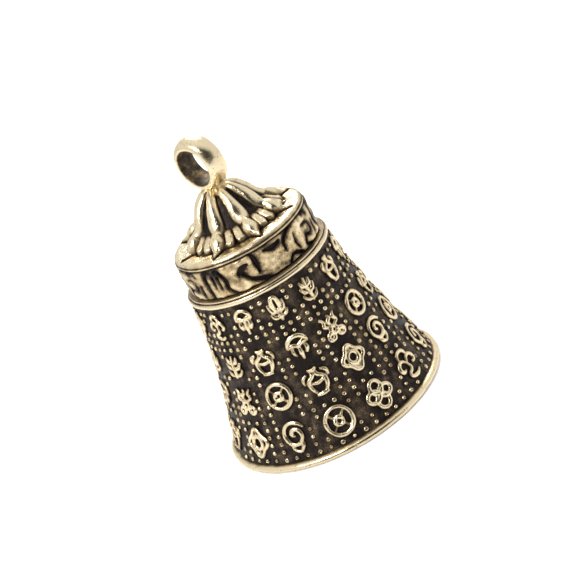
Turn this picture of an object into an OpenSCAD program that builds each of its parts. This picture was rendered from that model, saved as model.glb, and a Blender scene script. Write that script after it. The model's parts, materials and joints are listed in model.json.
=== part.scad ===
// Small temple bell: a flared brass bell with a lotus crown, a hanging ring and a clapper that
// turns and swings. It stands on its mouth, +Z up, with the origin at the middle of the mouth.

/* [Bell] */
// Diameter of the mouth over its lip
mouth_d = 30; // [28:0.5:34]
// Height of the flared skirt
skirt_h = 21.6; // [20:0.2:24]
// Diameter of the skirt where it meets the neck
neck_d = 19.2; // [18.6:0.1:20]
// How sharply the skirt flares towards the mouth
flare = 1.5; // [1.2:0.05:1.8]
// Thickness of the cast wall
wall = 1.5; // [1.2:0.1:1.7]

/* [Lip and neck] */
// Height of the smooth lip round the mouth
lip_h = 0.95; // [0.8:0.05:1.4]
// How far the lip stands out from the skirt
lip_out = 0.45; // [0.35:0.05:0.7]
// Height of the neck drum above the skirt
drum_h = 5.2; // [4.8:0.1:5.6]
// Height of the bead between skirt and neck
bead_h = 1.0; // [0.8:0.1:1.2]
// Thickness of the frieze band at its rims
frieze_t = 0.7; // [0.6:0.05:0.8]
// Number of scrolls round the frieze
scroll_count = 12; // [8:1:14]

/* [Crown] */
// Diameter of the crown plate
plate_d = 17.9; // [17.6:0.1:18.4]
// Thickness of the crown plate
plate_t = 0.9; // [0.8:0.05:1.1]
// Number of lotus petals
petal_count = 8; // [8:1:8]
// Rise of the lotus from plate to ring
lotus_h = 5.5; // [5.2:0.1:6]
// Reach of a petal's tip from the axis
petal_reach = 8.2; // [7.6:0.1:8.3]

/* [Hanging ring] */
// Bore of the hanging ring
ring_bore_d = 4.9; // [4.4:0.1:5]
// Outer diameter of the hanging ring
ring_d = 7.3; // [7.1:0.1:8]
// Width of the hanging ring along its bore
ring_w = 2.8; // [2.4:0.1:3]

/* [Relief] */
// Columns of emblems round the skirt
emblem_columns = 14; // [14:1:14]
// Height that the emblems stand out
emblem_out = 0.35; // [0.25:0.05:0.45]
// Width of an emblem's strokes
stroke_w = 0.46; // [0.4:0.02:0.5]
// Diameter of a stud
stud_d = 0.56; // [0.4:0.02:0.6]

/* [Clapper] */
// Diameter of the hanger pin
pin_d = 1.4; // [1.2:0.1:1.6]
// Wire thickness of the two eyes
eye_wire = 0.9; // [0.7:0.05:0.9]
// Diameter of the clapper's ball
ball_d = 5.6; // [5:0.1:5.8]
// Height of the ball's centre above the mouth
ball_z = 5.5; // [5.2:0.1:6.5]

/* [Hidden] */
PETALS = [for (i = [1 : petal_count]) str("petal_", i)];
COLUMNS = [for (i = [1 : emblem_columns]) str("emblem_column_", i)];

$fn = 96;
BRASS = "#c9a95c";
DARK_BRASS = "#3a2f26";
STEPS = 14;             // straight runs in a curved profile

mouth_r = mouth_d / 2;
ground_mouth_r = mouth_r - lip_out;
neck_r = neck_d / 2;
drum_r = neck_r - 1.3;
drum_top = skirt_h + drum_h;
roof_t = 1.5;           // closing plate under the crown
frieze_z = skirt_h + bead_h;
plate_z = drum_top;
plate_top = plate_z + plate_t;
shoulder_w = 1;         // width of the plate's rounded shoulder
lotus_top = plate_top + lotus_h;
lotus_tip_r = 2;        // radius of the petals' crests under the ring
core_in = 0.8;          // depth of the grooves between the petals
petal_turn = 23.5;      // turn of the first petal from the ring's bore
ring_z = lotus_top + ring_d / 2;
ring_edge = 0.3;        // thickness of the ring at the edges of its bore
ring_peg_r = 0.85;
ring_peg_h = 1.6;
pin_r = pin_d / 2;
pin_gap = 0.05;         // running clearance round the pin
head_r = 1.5;
head_h = 0.8;
eye_r = 1.3;            // radius of an eye at the middle of its wire
wire_r = eye_wire / 2;
hook_z = drum_top - roof_t - 3.7;       // middle of the straight run that the clapper hangs on
hook_bend = 0.8;        // radius of the bends at the ends of that run
hanger_eye_z = hook_z + hook_bend;
clapper_eye_z = hook_z + 2 * wire_r + pin_gap - eye_r;
stem_r = 0.6;
rivet_h = 0.7;

emblem_z = [3.8, 9.2, 13.75, 19.25];       // heights of the emblems' centres, from the lowest row
emblem_w = [4.0, 3.7, 3.5, 2.8];           // width of an emblem in each row
emblem_h = [4.3, 3.8, 3.7, 3.9];           // height of an emblem in each row
column_turn = -0.3;                        // turn of the first column
stud_lanes = [-1.5, -0.5, 0.5, 1.5];       // lanes of studs in each column, in quarters of its width
stud_pitch = 0.97;
stud_clear = 0.08;      // least gap between a stud and a stroke
stud_h = 0.2;
relief_gap = 0.05;      // the relief's flat backs clear the skirt's hollow curve by this
stud_z0 = lip_h + 0.45;
stud_count = floor((skirt_h - 0.35 - stud_z0) / stud_pitch) + 1;

// Radius of the skirt's smooth ground at a height
function ground_r(z) = neck_r + (ground_mouth_r - neck_r) * pow(1 - min(z, skirt_h) / skirt_h, flare);
// The ground's outline, from height a up to height b
function ground_line(a, b) =
    [for (i = [0 : STEPS]) let (z = a + (b - a) * i / STEPS) [ground_r(z), z]];
// An arc of points round [cx, cy]
function arc(cx, cy, r, a, b, n = 8) =
    [for (i = [0 : n]) let (t = a + (b - a) * i / n) [cx + r * cos(t), cy + r * sin(t)]];
function reversed(list) = [for (i = [len(list) - 1 : -1 : 0]) list[i]];
// Radius of the skirt's casting at a height, on the straight runs of its outline
function cast_r(z) = lookup(z, [for (p = ground_line(0, skirt_h)) [p[1], p[0]]]);
// Slope of the skirt's ground at a height, in degrees from upright
function ground_lean(z) = atan((ground_r(z - 0.2) - ground_r(z + 0.2)) / 0.4);
// The lotus outline, from the top down, inset by grow
function lotus_line(inset = 0) =
    [for (i = [0 : STEPS]) let (t = i / STEPS)
        [lotus_tip_r - inset + (petal_reach + 0.2 - lotus_tip_r) * t,
         plate_top + lotus_h * pow(1 - t, 1.3)]];

// ---- the bell's casting and its rings ----

module bell_skirt() {
    inner = [for (p = ground_line(0, skirt_h - 1)) [p[0] - wall, p[1]]];
    inner_roof = drum_top - roof_t;
    roof_r = drum_r - wall;
    hole_r = pin_r + pin_gap;
    color(DARK_BRASS) rotate_extrude()
        polygon(concat(ground_line(0, skirt_h),
            [[drum_r, skirt_h], [drum_r, drum_top], [hole_r, drum_top], [hole_r, inner_roof]],
            arc(roof_r - 0.8, inner_roof - 0.8, 0.8, 90, 0, 4),
            reversed(inner)));
}

module mouth_lip() {
    back = concat([for (p = ground_line(0, skirt_h)) if (p[1] < lip_h) p], [[cast_r(lip_h), lip_h]]);
    round_r = 0.4;
    color(BRASS) rotate_extrude()
        polygon(concat(reversed(back),
            [[mouth_r - round_r + 0.1, 0]],
            arc(mouth_r - round_r, round_r, round_r, -60, 50, 6),
            [[cast_r(lip_h) + 0.15, lip_h]]));
}

module neck_bead() {
    bead_r = neck_r + 0.25;
    color(BRASS) rotate_extrude()
        polygon(concat([[drum_r, skirt_h]],
            arc(bead_r - bead_h / 2, skirt_h + bead_h / 2, bead_h / 2, -90, 90),
            [[drum_r, skirt_h + bead_h]]));
}

module frieze_band() {
    rim_h = 0.4;
    ground = drum_r + frieze_t - 0.3;
    rim = drum_r + frieze_t;
    color(BRASS) rotate_extrude()
        polygon([[drum_r, frieze_z], [rim + 0.1, frieze_z], [ground, frieze_z + rim_h],
            [ground, drum_top - rim_h], [rim, drum_top - rim_h], [rim, drum_top], [drum_r, drum_top]]);
}

// One cloud scroll: a raised pad with an eye and a tail cut into it
module scroll(turn) {
    ground = drum_r + frieze_t - 0.3;
    raised = ground + 0.35;
    low = frieze_z + 0.55;
    high = drum_top - 0.55;
    span = 360 / scroll_count - 5;
    mid = (low + high) / 2;
    cut_w = 0.4;
    difference() {
        rotate([0, 0, turn - span / 2]) rotate_extrude(angle = span)
            polygon([[ground, low], [raised, low], [raised, high], [ground, high]]);
        rotate([0, 0, turn - 3]) translate([0, 0, mid + 0.35]) rotate([0, 90, 0])
            cylinder(r = 0.55, h = 2 * raised);
        rotate([0, 0, turn + span * 0.22]) translate([ground - 1, -cut_w / 2, low - 1])
            cube([3, cut_w, 2.4]);
    }
}

module frieze_scrolls() {
    color(BRASS) for (i = [0 : scroll_count - 1]) scroll(i * 360 / scroll_count);
}

// ---- relief on the skirt ----

// Places its children on the skirt, with X across, Y up the skirt and Z out of it
module on_skirt(turn, z) {
    rotate([0, 0, turn]) translate([ground_r(z), 0, z])
        rotate([0, -ground_lean(z), 0]) rotate([90, 0, 90]) children();
}

// Strokes of the emblems, each a chain of points in a cell from -1 to 1
function loop(points) = concat(points, [points[0]]);
function round_loop(cx, cy, r, n = 8) =
    [for (i = [0 : n]) [cx + r * cos(360 * i / n), cy + r * sin(360 * i / n)]];
function both(chain) = [chain, [for (p = chain) [-p[0], p[1]]]];
BUD = concat([loop([[0, 1], [-0.36, 0.45], [0, -0.1], [0.36, 0.45]]), [[0, -0.1], [0, -1]]],
    both([[0.1, -0.3], [0.6, -0.05], [0.88, 0.6]]), both([[0, -0.6], [0.55, -0.6], [0.95, -0.2]]));
WHEEL = concat([round_loop(0, 0, 0.96, 10), round_loop(0, 0, 0.28)],
    both([[0.2, 0.2], [0.66, 0.66]]), both([[0.2, -0.2], [0.66, -0.66]]));
SPRIG = concat([[[0.1, 1], [-0.05, 0.3], [0.05, -0.4], [0, -1]]],
    both([[0, 0.25], [0.4, 0.4], [0.62, 0.85]]),
    both([[0, -0.25], [0.5, -0.1], [0.9, 0.35]]), both([[0, -0.8], [0.5, -0.7], [0.92, -0.25]]));
KNOT = concat([loop([[0, 1], [-0.45, 0.5], [0, 0], [0.45, 0.5]]),
    loop([[0, 0], [-0.45, -0.5], [0, -1], [0.45, -0.5]])],
    both(loop([[0, 0], [0.5, 0.38], [0.98, 0], [0.5, -0.38]])));
VASE = concat([[[-0.4, 1], [0, 0.88], [0.4, 1]], [[-0.5, -1], [0, -1], [0.5, -1]],
    [[-0.6, 0], [0, -0.15], [0.6, 0]]],
    both([[0.2, 0.88], [0.2, 0.5], [0.62, 0.15], [0.6, -0.45], [0.3, -0.95]]),
    both([[0.55, 0.75], [0.95, 0.5], [0.98, 0]]));
CLOUD = concat([[[-0.5, 0.4], [-0.4, 0.85], [0, 1], [0.4, 0.85], [0.5, 0.4]],
    [[0, 0.05], [0.05, -0.4], [-0.45, -0.7], [0.1, -1], [0.7, -0.85]]],
    both([[0, 0.05], [0.4, 0.4], [0.85, 0.25], [0.85, -0.2], [0.45, -0.2]]));
LATTICE = [
    loop([[0, 1], [-0.5, 0.5], [-0.95, 0], [-0.5, -0.5], [0, -1], [0.5, -0.5], [0.95, 0], [0.5, 0.5]]),
    loop([[0, 0.45], [-0.42, 0], [0, -0.45], [0.42, 0]]), [[0, 0.45], [0, 1]], [[0, -0.45], [0, -1]]];
PARASOL = concat([[[-0.95, 0.2], [-0.7, 0.72], [0, 1], [0.7, 0.72], [0.95, 0.2]],
    [[-0.95, 0.2], [-0.5, 0.38], [0, 0.2], [0.5, 0.38], [0.95, 0.2]], [[0, 0.2], [0, -1]]],
    both([[0.5, 0.3], [0.6, -0.2], [0.4, -0.6]]));
SHELL = [[[0.1, 0.1], [-0.15, 0.3], [0.1, 0.6], [0.5, 0.35], [0.45, -0.2], [-0.1, -0.45], [-0.6, -0.1],
    [-0.7, 0.5], [-0.3, 1], [0.4, 1], [0.9, 0.6]], [[-0.45, -0.35], [-0.3, -0.75], [0.1, -1]],
    [[0.45, -0.2], [0.4, -0.6], [0.1, -1]]];
JEWEL = concat([round_loop(0, -0.3, 0.28), [[0, 0.1], [-0.14, 0.45], [0.12, 0.7], [0, 1]]],
    both(round_loop(0.5, -0.72, 0.26)), both([[0.3, 0.05], [0.65, 0.25], [0.5, 0.6], [0.8, 1]]));
EMBLEMS = [BUD, WHEEL, SPRIG, KNOT, VASE, CLOUD, LATTICE, PARASOL, SHELL, JEWEL];

// One straight stroke from a to b, with a round end
module stroke(a, b) {
    d = b - a;
    translate(a) rotate([0, 0, atan2(d[1], d[0])]) translate([0, -stroke_w / 2])
        square([norm(d), stroke_w]);
    translate(b) circle(d = stroke_w);
}

// Half width and half height of an emblem, to the middle of its strokes
function cell_of(w, h) = [w - stroke_w, h - stroke_w] / 2;
function emblem_kind(column, row) = (column * 2 + row * 3 + floor(column / 3)) % len(EMBLEMS);

module emblem(kind, w, h) {
    cell = cell_of(w, h);
    translate([0, 0, relief_gap]) linear_extrude(emblem_out)
        for (chain = EMBLEMS[kind], i = [0 : len(chain) - 2])
            stroke([chain[i][0] * cell[0], chain[i][1] * cell[1]],
                [chain[i + 1][0] * cell[0], chain[i + 1][1] * cell[1]]);
}

module emblem_column(i) {
    turn = column_turn + i * 360 / emblem_columns;
    color(BRASS) for (row = [0 : len(emblem_z) - 1])
        on_skirt(turn, emblem_z[row])
            emblem(emblem_kind(i, row), emblem_w[row], emblem_h[row]);
}

// Distance of point p from the straight stroke between a and b
function stroke_distance(p, a, b) =
    let (d = b - a, t = max(0, min(1, (p - a) * d / (d * d)))) norm(p - a - t * d);
// Distance of a point, in an emblem's own X and Y, from the nearest of its strokes
function emblem_distance(p, kind, cell) =
    min([for (chain = EMBLEMS[kind], i = [0 : len(chain) - 2])
        stroke_distance(p, [chain[i][0] * cell[0], chain[i][1] * cell[1]],
            [chain[i + 1][0] * cell[0], chain[i + 1][1] * cell[1]])]);
// Distance of a stud, turned away from its column's middle, from the nearest stroke of that column
function stud_distance(column, turn, z) =
    min([for (row = [0 : len(emblem_z) - 1])
        emblem_distance([ground_r(z) * sin(turn), (z - emblem_z[row]) / cos(ground_lean(z))],
            emblem_kind(column, row), cell_of(emblem_w[row], emblem_h[row]))]);

// Even lanes of studs up the skirt, left out where an emblem stands
module studs() {
    quarter = 90 / emblem_columns;
    room = (stud_d + stroke_w) / 2 + stud_clear;
    color(BRASS) for (c = [0 : emblem_columns - 1], lane = stud_lanes * quarter, k = [0 : stud_count - 1])
        let (z = stud_z0 + k * stud_pitch)
            if (stud_distance(c, lane, z) > room)
                on_skirt(column_turn + c * 4 * quarter + lane, z)
                    translate([0, 0, relief_gap]) cylinder(d = stud_d, h = stud_h, $fn = 16);
}

// ---- crown ----

// A disc with a bead under its edge and a broad, rounded shoulder over it
module crown_plate() {
    r = plate_d / 2;
    bead = plate_t * 0.33;
    edge_z = plate_z + 2 * bead;
    edge_r = r - 0.1;
    color(BRASS) rotate_extrude()
        polygon(concat([[head_r + 0.3, plate_z]],
            arc(r - bead, plate_z + bead, bead, -90, 60, 6),
            [for (i = [0 : 6]) [edge_r - shoulder_w * (1 - cos(15 * i)),
                edge_z + (plate_top - edge_z) * sin(15 * i)]],
            [[head_r + 0.3, plate_top]]));
}

module lotus_core() {
    room_h = 0.7;
    color(DARK_BRASS) difference() {
        rotate_extrude() polygon(concat([[0, plate_top], [0, lotus_top]], lotus_line(core_in)));
        translate([0, 0, plate_top - 1]) cylinder(r = head_r + 0.3, h = 1 + room_h);
        translate([0, 0, lotus_top - ring_peg_h]) cylinder(r = ring_peg_r, h = ring_peg_h + 1);
    }
}

// Plan of a petal that points along +X: a long rib that opens into a foot with three points
module petal_plan() {
    side = [[1.3, 0.42], [2.2, 0.68], [4.3, 1.1], [5, 0.9], [5.2, 1.7], [6.2, 2.2], [6.4, 0.9]];
    polygon(concat(side, [[petal_reach, 0]], [for (p = reversed(side)) [p[0], -p[1]]]));
}

module petal(i) {
    color(BRASS) rotate([0, 0, petal_turn + i * 360 / petal_count]) intersection() {
        rotate_extrude() polygon(concat(lotus_line(), reversed(lotus_line(core_in))));
        translate([0, 0, plate_top - 1]) linear_extrude(lotus_h + 2) petal_plan();
    }
}

module hanging_ring() {
    bore_r = ring_bore_d / 2;
    edge = bore_r + ring_edge;
    color(BRASS) difference() {
        union() {
            translate([0, 0, ring_z]) rotate([0, 90, 0]) rotate_extrude()
                polygon(concat([[bore_r, -ring_w / 2]],
                    [for (i = [0 : 10]) let (t = -90 + 18 * i)
                        [edge + (ring_d / 2 - edge) * cos(t), ring_w / 2 * sin(t)]],
                    [[bore_r, ring_w / 2]]));
            translate([0, 0, lotus_top - ring_peg_h]) cylinder(r = ring_peg_r, h = ring_peg_h + 0.5);
        }
        translate([-ring_w, 0, ring_z]) rotate([0, 90, 0]) cylinder(r = bore_r, h = 2 * ring_w);
    }
}

// ---- hanger and clapper ----

// A closed round eye in the plane that the clapper swings in
module eye() {
    translate([0, 0, clapper_eye_z]) rotate([90, 0, 90])
        rotate_extrude() translate([eye_r, 0]) circle(r = wire_r, $fn = 32);
}

// The pin's shaft, which turns in the roof's hole
module hanger_pin() {
    low = hanger_eye_z + eye_r;
    color(BRASS) difference() {
        translate([0, 0, low]) cylinder(r = pin_r, h = drum_top + pin_gap - low);
        hanger_loop();
    }
}

// The peened head that keeps the pin from dropping
module hanger_head() {
    color(BRASS) translate([0, 0, drum_top + pin_gap]) rotate_extrude()
        polygon([[0, 0], [head_r, 0], [head_r, 0.3], [head_r * 0.7, head_h * 0.85], [0, head_h]]);
}

// A wire bent to a half round over a straight run along X, on which the clapper hangs
module hanger_loop() {
    run = eye_r - hook_bend;
    translate([0, 0, hanger_eye_z]) rotate([90, 0, 0]) {
        rotate_extrude(angle = 180) translate([eye_r, 0]) circle(r = wire_r, $fn = 32);
        for (side = [0, 1]) mirror([side, 0, 0]) translate([run, 0, 0])
            rotate([0, 0, -90]) rotate_extrude(angle = 90)
                translate([hook_bend, 0]) circle(r = wire_r, $fn = 32);
    }
    translate([-run, 0, hook_z]) rotate([0, 90, 0]) cylinder(r = wire_r, h = 2 * run, $fn = 32);
}

module hanger_eye() {
    color(BRASS) hanger_loop();
}

module clapper_eye() {
    color(BRASS) eye();
}

module clapper_stem() {
    top = clapper_eye_z - eye_r;
    low = ball_z - ball_d / 2 - 0.1;
    color(BRASS) difference() {
        translate([0, 0, low]) cylinder(r = stem_r, h = top - low);
        eye();
    }
}

module clapper_ball() {
    color(BRASS) difference() {
        translate([0, 0, ball_z]) sphere(r = ball_d / 2);
        translate([0, 0, ball_z - ball_d]) cylinder(r = stem_r, h = 2 * ball_d);
    }
}

// The stem's end, spread under the ball
module clapper_rivet() {
    low = ball_z - ball_d / 2 - 0.1;
    color(BRASS) difference() {
        translate([0, 0, low - rivet_h]) rotate_extrude()
            polygon([[0, 0], [0.7, 0], [1.1, 0.4], [1.1, rivet_h + 0.2], [0, rivet_h + 0.2]]);
        translate([0, 0, low]) cylinder(r = stem_r, h = 2);
        translate([0, 0, ball_z]) sphere(r = ball_d / 2);
    }
}

bell_skirt();
mouth_lip();
neck_bead();
frieze_band();
frieze_scrolls();
studs();
crown_plate();
lotus_core();
hanging_ring();
hanger_pin();
hanger_head();
hanger_eye();
clapper_eye();
clapper_stem();
clapper_ball();
clapper_rivet();
for (i = [0 : petal_count - 1]) petal(i);
for (i = [0 : emblem_columns - 1]) emblem_column(i);
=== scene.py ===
"""Looks of a small cast-brass temple bell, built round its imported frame.

Sizes are in millimetres until a piece is finished, and angles are in degrees.
"""

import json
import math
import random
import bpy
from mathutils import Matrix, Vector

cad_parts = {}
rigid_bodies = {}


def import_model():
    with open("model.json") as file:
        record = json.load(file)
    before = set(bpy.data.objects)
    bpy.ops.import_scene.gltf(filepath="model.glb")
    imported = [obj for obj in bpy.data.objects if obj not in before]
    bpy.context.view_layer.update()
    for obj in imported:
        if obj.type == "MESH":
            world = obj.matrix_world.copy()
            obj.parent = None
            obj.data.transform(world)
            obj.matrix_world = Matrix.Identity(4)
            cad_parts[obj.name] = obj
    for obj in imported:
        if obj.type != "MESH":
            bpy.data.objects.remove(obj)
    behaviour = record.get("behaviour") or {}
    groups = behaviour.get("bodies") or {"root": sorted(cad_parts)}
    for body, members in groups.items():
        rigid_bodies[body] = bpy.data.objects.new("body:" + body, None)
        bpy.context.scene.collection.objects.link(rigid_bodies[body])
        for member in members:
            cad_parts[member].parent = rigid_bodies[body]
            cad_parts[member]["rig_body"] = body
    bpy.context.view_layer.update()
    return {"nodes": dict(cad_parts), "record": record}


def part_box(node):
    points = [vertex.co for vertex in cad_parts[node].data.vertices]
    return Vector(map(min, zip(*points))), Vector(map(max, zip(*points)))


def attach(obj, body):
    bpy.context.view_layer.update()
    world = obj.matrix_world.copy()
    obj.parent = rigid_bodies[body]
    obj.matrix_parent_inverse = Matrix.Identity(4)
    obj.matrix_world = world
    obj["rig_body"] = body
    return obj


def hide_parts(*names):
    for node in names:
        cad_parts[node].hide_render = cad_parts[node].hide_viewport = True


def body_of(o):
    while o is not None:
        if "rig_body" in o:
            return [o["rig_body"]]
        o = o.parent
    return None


bl_info = {
    "name": "Temple Bell",
    "version": (1, 0, 0),
    "blender": (4, 5, 0),
    "location": "View3D > Sidebar > Temple Bell",
    "description": "Casts, sculpts and finishes a small brass temple bell",
    "category": "Object",
}

import bmesh
import bpy
from bpy.props import FloatProperty, FloatVectorProperty, IntProperty, PointerProperty
from mathutils import Matrix, Vector, noise

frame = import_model()

MM = 0.001
TURN = 2 * math.pi


def box_mm(node):
    """Lowest and highest corner of a node of the frame, in millimetres."""
    low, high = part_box(node)
    return low / MM, high / MM


def mount(name):
    """A mount of the frame's record."""
    return next(m for m in frame["record"]["mounts"] if m["name"] == name)


SKIRT_LOW, SKIRT_HIGH = box_mm("bell_skirt")
LIP_LOW, LIP_HIGH = box_mm("mouth_lip")
BEAD_LOW, BEAD_HIGH = box_mm("neck_bead")
PLATE_LOW, PLATE_HIGH = box_mm("crown_plate")
RING_LOW, RING_HIGH = box_mm("hanging_ring")
RING_BORE = mount("hanging_bore")["dims"]["r_mm"]
RING_Z = mount("hanging_bore")["pos_m"][2] / MM
DRUM_INSET = 1.3  # from the neck's radius in to the drum's
ROOF = 1.5
SOLDER_TOP = (33.4, 34.2)  # heights between which the solder's dark edge fades
PETALS = sorted(n for n in frame["nodes"] if n.startswith("petal_"))
COLUMNS = sorted(
    (n for n in frame["nodes"] if n.startswith("emblem_column_")),
    key=lambda name: int(name.rsplit("_", 1)[1]),
)


# ---- sizes and colours that a user would change ----


class BellSizes(bpy.types.PropertyGroup):
    """Sizes of the bell that the frame doesn't give."""

    neck_radius: FloatProperty(
        name="Neck radius", description="Skirt's radius at the neck, in mm", default=9.6
    )
    lip_out: FloatProperty(
        name="Lip", description="How far the lip stands out from the skirt, in mm", default=0.45
    )
    flare: FloatProperty(
        name="Flare", description="How sharply the skirt flares to its mouth", default=1.5
    )
    wall: FloatProperty(name="Wall", description="Thickness of the casting, in mm", default=1.5)
    relief: FloatProperty(name="Relief", description="Height of the raised strokes, in mm", default=0.4)
    stroke: FloatProperty(name="Stroke", description="Width of the raised strokes, in mm", default=0.66)
    stud: FloatProperty(name="Stud", description="Diameter of a stud, in mm", default=0.66)
    stud_pitch: FloatProperty(
        name="Stud pitch", description="Height from stud to stud, in mm", default=0.97
    )
    petal_reach: FloatProperty(
        name="Petal reach", description="From the axis to a petal's tip, in mm", default=8.2
    )
    seed: IntProperty(name="Seed", description="Start of the small unevenness of the casting", default=7)


class BellFinish(bpy.types.PropertyGroup):
    """Colours of the brass."""

    polished: FloatVectorProperty(
        name="Polished", description="Brass rubbed bright",
        subtype="COLOR", default=(0.95, 0.80, 0.53), max=1,
    )
    worn: FloatVectorProperty(
        name="Worn", description="Brass with a thin film",
        subtype="COLOR", default=(0.56, 0.42, 0.22), max=1,
    )
    umber: FloatVectorProperty(
        name="Umber", description="Brass with a thick brown film",
        subtype="COLOR", default=(0.115, 0.08, 0.05), max=1,
    )
    tarnish: FloatVectorProperty(
        name="Tarnish", description="Black film in the hollows",
        subtype="COLOR", default=(0.018, 0.012, 0.01), max=1,
    )


class BellStage(bpy.types.PropertyGroup):
    """Camera, floor and light."""

    azimuth: FloatProperty(
        name="Azimuth", description="Camera's turn round the bell, in degrees", default=-35.5
    )
    elevation: FloatProperty(name="Elevation", description="Camera's height, in degrees", default=22.2)
    roll: FloatProperty(name="Roll", description="Camera's roll, in degrees", default=-29.6)
    distance: FloatProperty(name="Distance", description="Camera's distance, in mm", default=210.0)
    lens: FloatProperty(name="Lens", description="Focal length on a 36 mm sensor, in mm", default=103.7)
    key: FloatProperty(
        name="Key light", description="Strength of the main soft light, in W", default=0.9
    )
    tent: FloatProperty(
        name="Light tent", description="Brightness of the white tent round the bell", default=0.8
    )
    dark: FloatProperty(name="Dark side", description="Brightness of the tent's open side", default=0.03)


# ---- shader maths ----


class Wire:
    """A shader socket. Sums with numbers or other wires add Math nodes."""

    def __init__(self, paint, socket):
        self.paint = paint
        self.socket = socket

    def sum(self, operation, left, right):
        return self.paint.node("ShaderNodeMath", {"operation": operation}, {0: left, 1: right})

    def __add__(self, other):
        return self.sum("ADD", self, other)

    def __radd__(self, other):
        return self.sum("ADD", other, self)

    def __sub__(self, other):
        return self.sum("SUBTRACT", self, other)

    def __rsub__(self, other):
        return self.sum("SUBTRACT", other, self)

    def __mul__(self, other):
        return self.sum("MULTIPLY", self, other)

    def __rmul__(self, other):
        return self.sum("MULTIPLY", other, self)


class Paint:
    """A new material and the few node recipes that it is mixed from."""

    def __init__(self, name):
        self.material = bpy.data.materials.new(name)
        self.material.use_nodes = True
        self.tree = self.material.node_tree
        self.shader = self.tree.nodes["Principled BSDF"]

    def node(self, kind, settings, inputs, output=0):
        """Adds one node: its settings first, then the values or wires of its sockets."""
        made = self.tree.nodes.new(kind)
        for name, value in settings.items():
            setattr(made, name, value)
        for name, value in inputs.items():
            self.feed(made.inputs[name], value)
        return Wire(self, made.outputs[output])

    def feed(self, socket, value):
        if isinstance(value, Wire):
            self.tree.links.new(value.socket, socket)
        else:
            socket.default_value = value

    def place(self):
        """The point on the piece, in millimetres."""
        at = self.node("ShaderNodeTexCoord", {}, {}, "Object")
        return self.node("ShaderNodeVectorMath", {"operation": "SCALE"}, {0: at, "Scale": 1 / MM})

    def cloud(self, place, scale, detail=2.0, rough=0.5):
        """Soft noise with a given number of features to the millimetre."""
        sockets = {"Vector": place, "Scale": scale, "Detail": detail, "Roughness": rough}
        return self.node("ShaderNodeTexNoise", {}, sockets, "Fac")

    def cells(self, place, scale):
        """Distance to the nearest of many scattered points."""
        return self.node("ShaderNodeTexVoronoi", {}, {"Vector": place, "Scale": scale}, "Distance")

    def attribute(self, name):
        return self.node("ShaderNodeAttribute", {"attribute_name": name}, {}, "Fac")

    def step(self, value, low, high):
        """0 below low, 1 above high and a smooth rise between."""
        sockets = {"Value": value, "From Min": low, "From Max": high}
        return self.node("ShaderNodeMapRange", {"interpolation_type": "SMOOTHSTEP"}, sockets)

    def blend(self, share, first, second):
        """One colour passing into another."""
        first = first if isinstance(first, Wire) else (*first, 1)
        second = second if isinstance(second, Wire) else (*second, 1)
        return self.node("ShaderNodeMix", {"data_type": "RGBA"}, {0: share, 6: first, 7: second}, 2)

    def bump(self, height, depth):
        """A bump of a given depth, in millimetres."""
        return self.node("ShaderNodeBump", {}, {"Height": height, "Distance": depth * MM})

    def finish(self, **sockets):
        for name, value in sockets.items():
            self.feed(self.shader.inputs[name.replace("_", " ")], value)
        return self.material


def aged_brass(name, finish, rub=0.0, grain_depth=0.03, dirt=0.3, gloss=0.0):
    """Cast brass: tarnished where its relief mark is low, rubbed bright where it is high, with fine pits. In
    places the relief mark also carries painted shade and painted sheen.
    """
    paint = Paint(name)
    place = paint.place()
    relief = paint.attribute("relief")
    grain = paint.cloud(place, 5.0, 3.0, 0.62)
    blotch = paint.cloud(place, 0.8, 2.0)
    pits = paint.step(paint.cells(place, 1.9), 0.08, 0.2)
    level = relief + (grain - 0.5) * dirt + (blotch - 0.5) * dirt * 1.6 + rub
    brown = paint.step(level, 0.05, 0.4)
    film = paint.step(level, 0.28, 0.66)
    shine = paint.step(level, 0.55, 1.0)
    base = paint.blend(brown, tuple(finish.tarnish), tuple(finish.umber))
    base = paint.blend(film, base, tuple(finish.worn))
    base = paint.blend(shine, base, tuple(finish.polished))
    base = paint.blend((1 - pits) * 0.8, base, tuple(finish.tarnish))
    height = grain * 0.7 + pits * 0.3 + blotch * 0.4
    return paint.finish(
        Base_Color=base,
        Metallic=0.7 + film * 0.3,
        Roughness=0.5 - film * 0.16 - shine * 0.12 + (grain - 0.5) * 0.16,
        Coat_Weight=gloss,
        Normal=paint.bump(height, grain_depth),
    )


# ---- mesh helpers ----


def lerp(a, b, share):
    return a + (b - a) * share


def smooth(value, low=0.0, high=1.0):
    """0 below low, 1 above high and a smooth rise between."""
    share = min(1.0, max(0.0, (value - low) / (high - low)))
    return share * share * (3 - 2 * share)


def hump(value, centre, spread):
    return math.exp(-(((value - centre) / spread) ** 2))


def flow(value, points):
    """Reads a value off a smooth curve through (place, value) points."""
    last = len(points) - 2
    i = next((k for k in range(last + 1) if value <= points[k + 1][0]), last)
    (a, first), (b, second) = points[i], points[i + 1]
    slope = lambda k, m: (points[m][1] - points[k][1]) / (points[m][0] - points[k][0])
    start = slope(max(i - 1, 0), i + 1) * (b - a)
    end = slope(i, min(i + 2, last + 1)) * (b - a)
    t = min(1.0, max(0.0, (value - a) / (b - a)))
    return (
        first * (2 * t**3 - 3 * t**2 + 1) + start * (t**3 - 2 * t**2 + t)
        + second * (3 * t**2 - 2 * t**3) + end * (t**3 - t**2)
    )


def arc(cx, cy, radius, start, end, runs=8):
    """Points on an arc, from one angle to another."""
    angles = (math.radians(lerp(start, end, i / runs)) for i in range(runs + 1))
    return [(cx + radius * math.cos(a), cy + radius * math.sin(a)) for a in angles]


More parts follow.
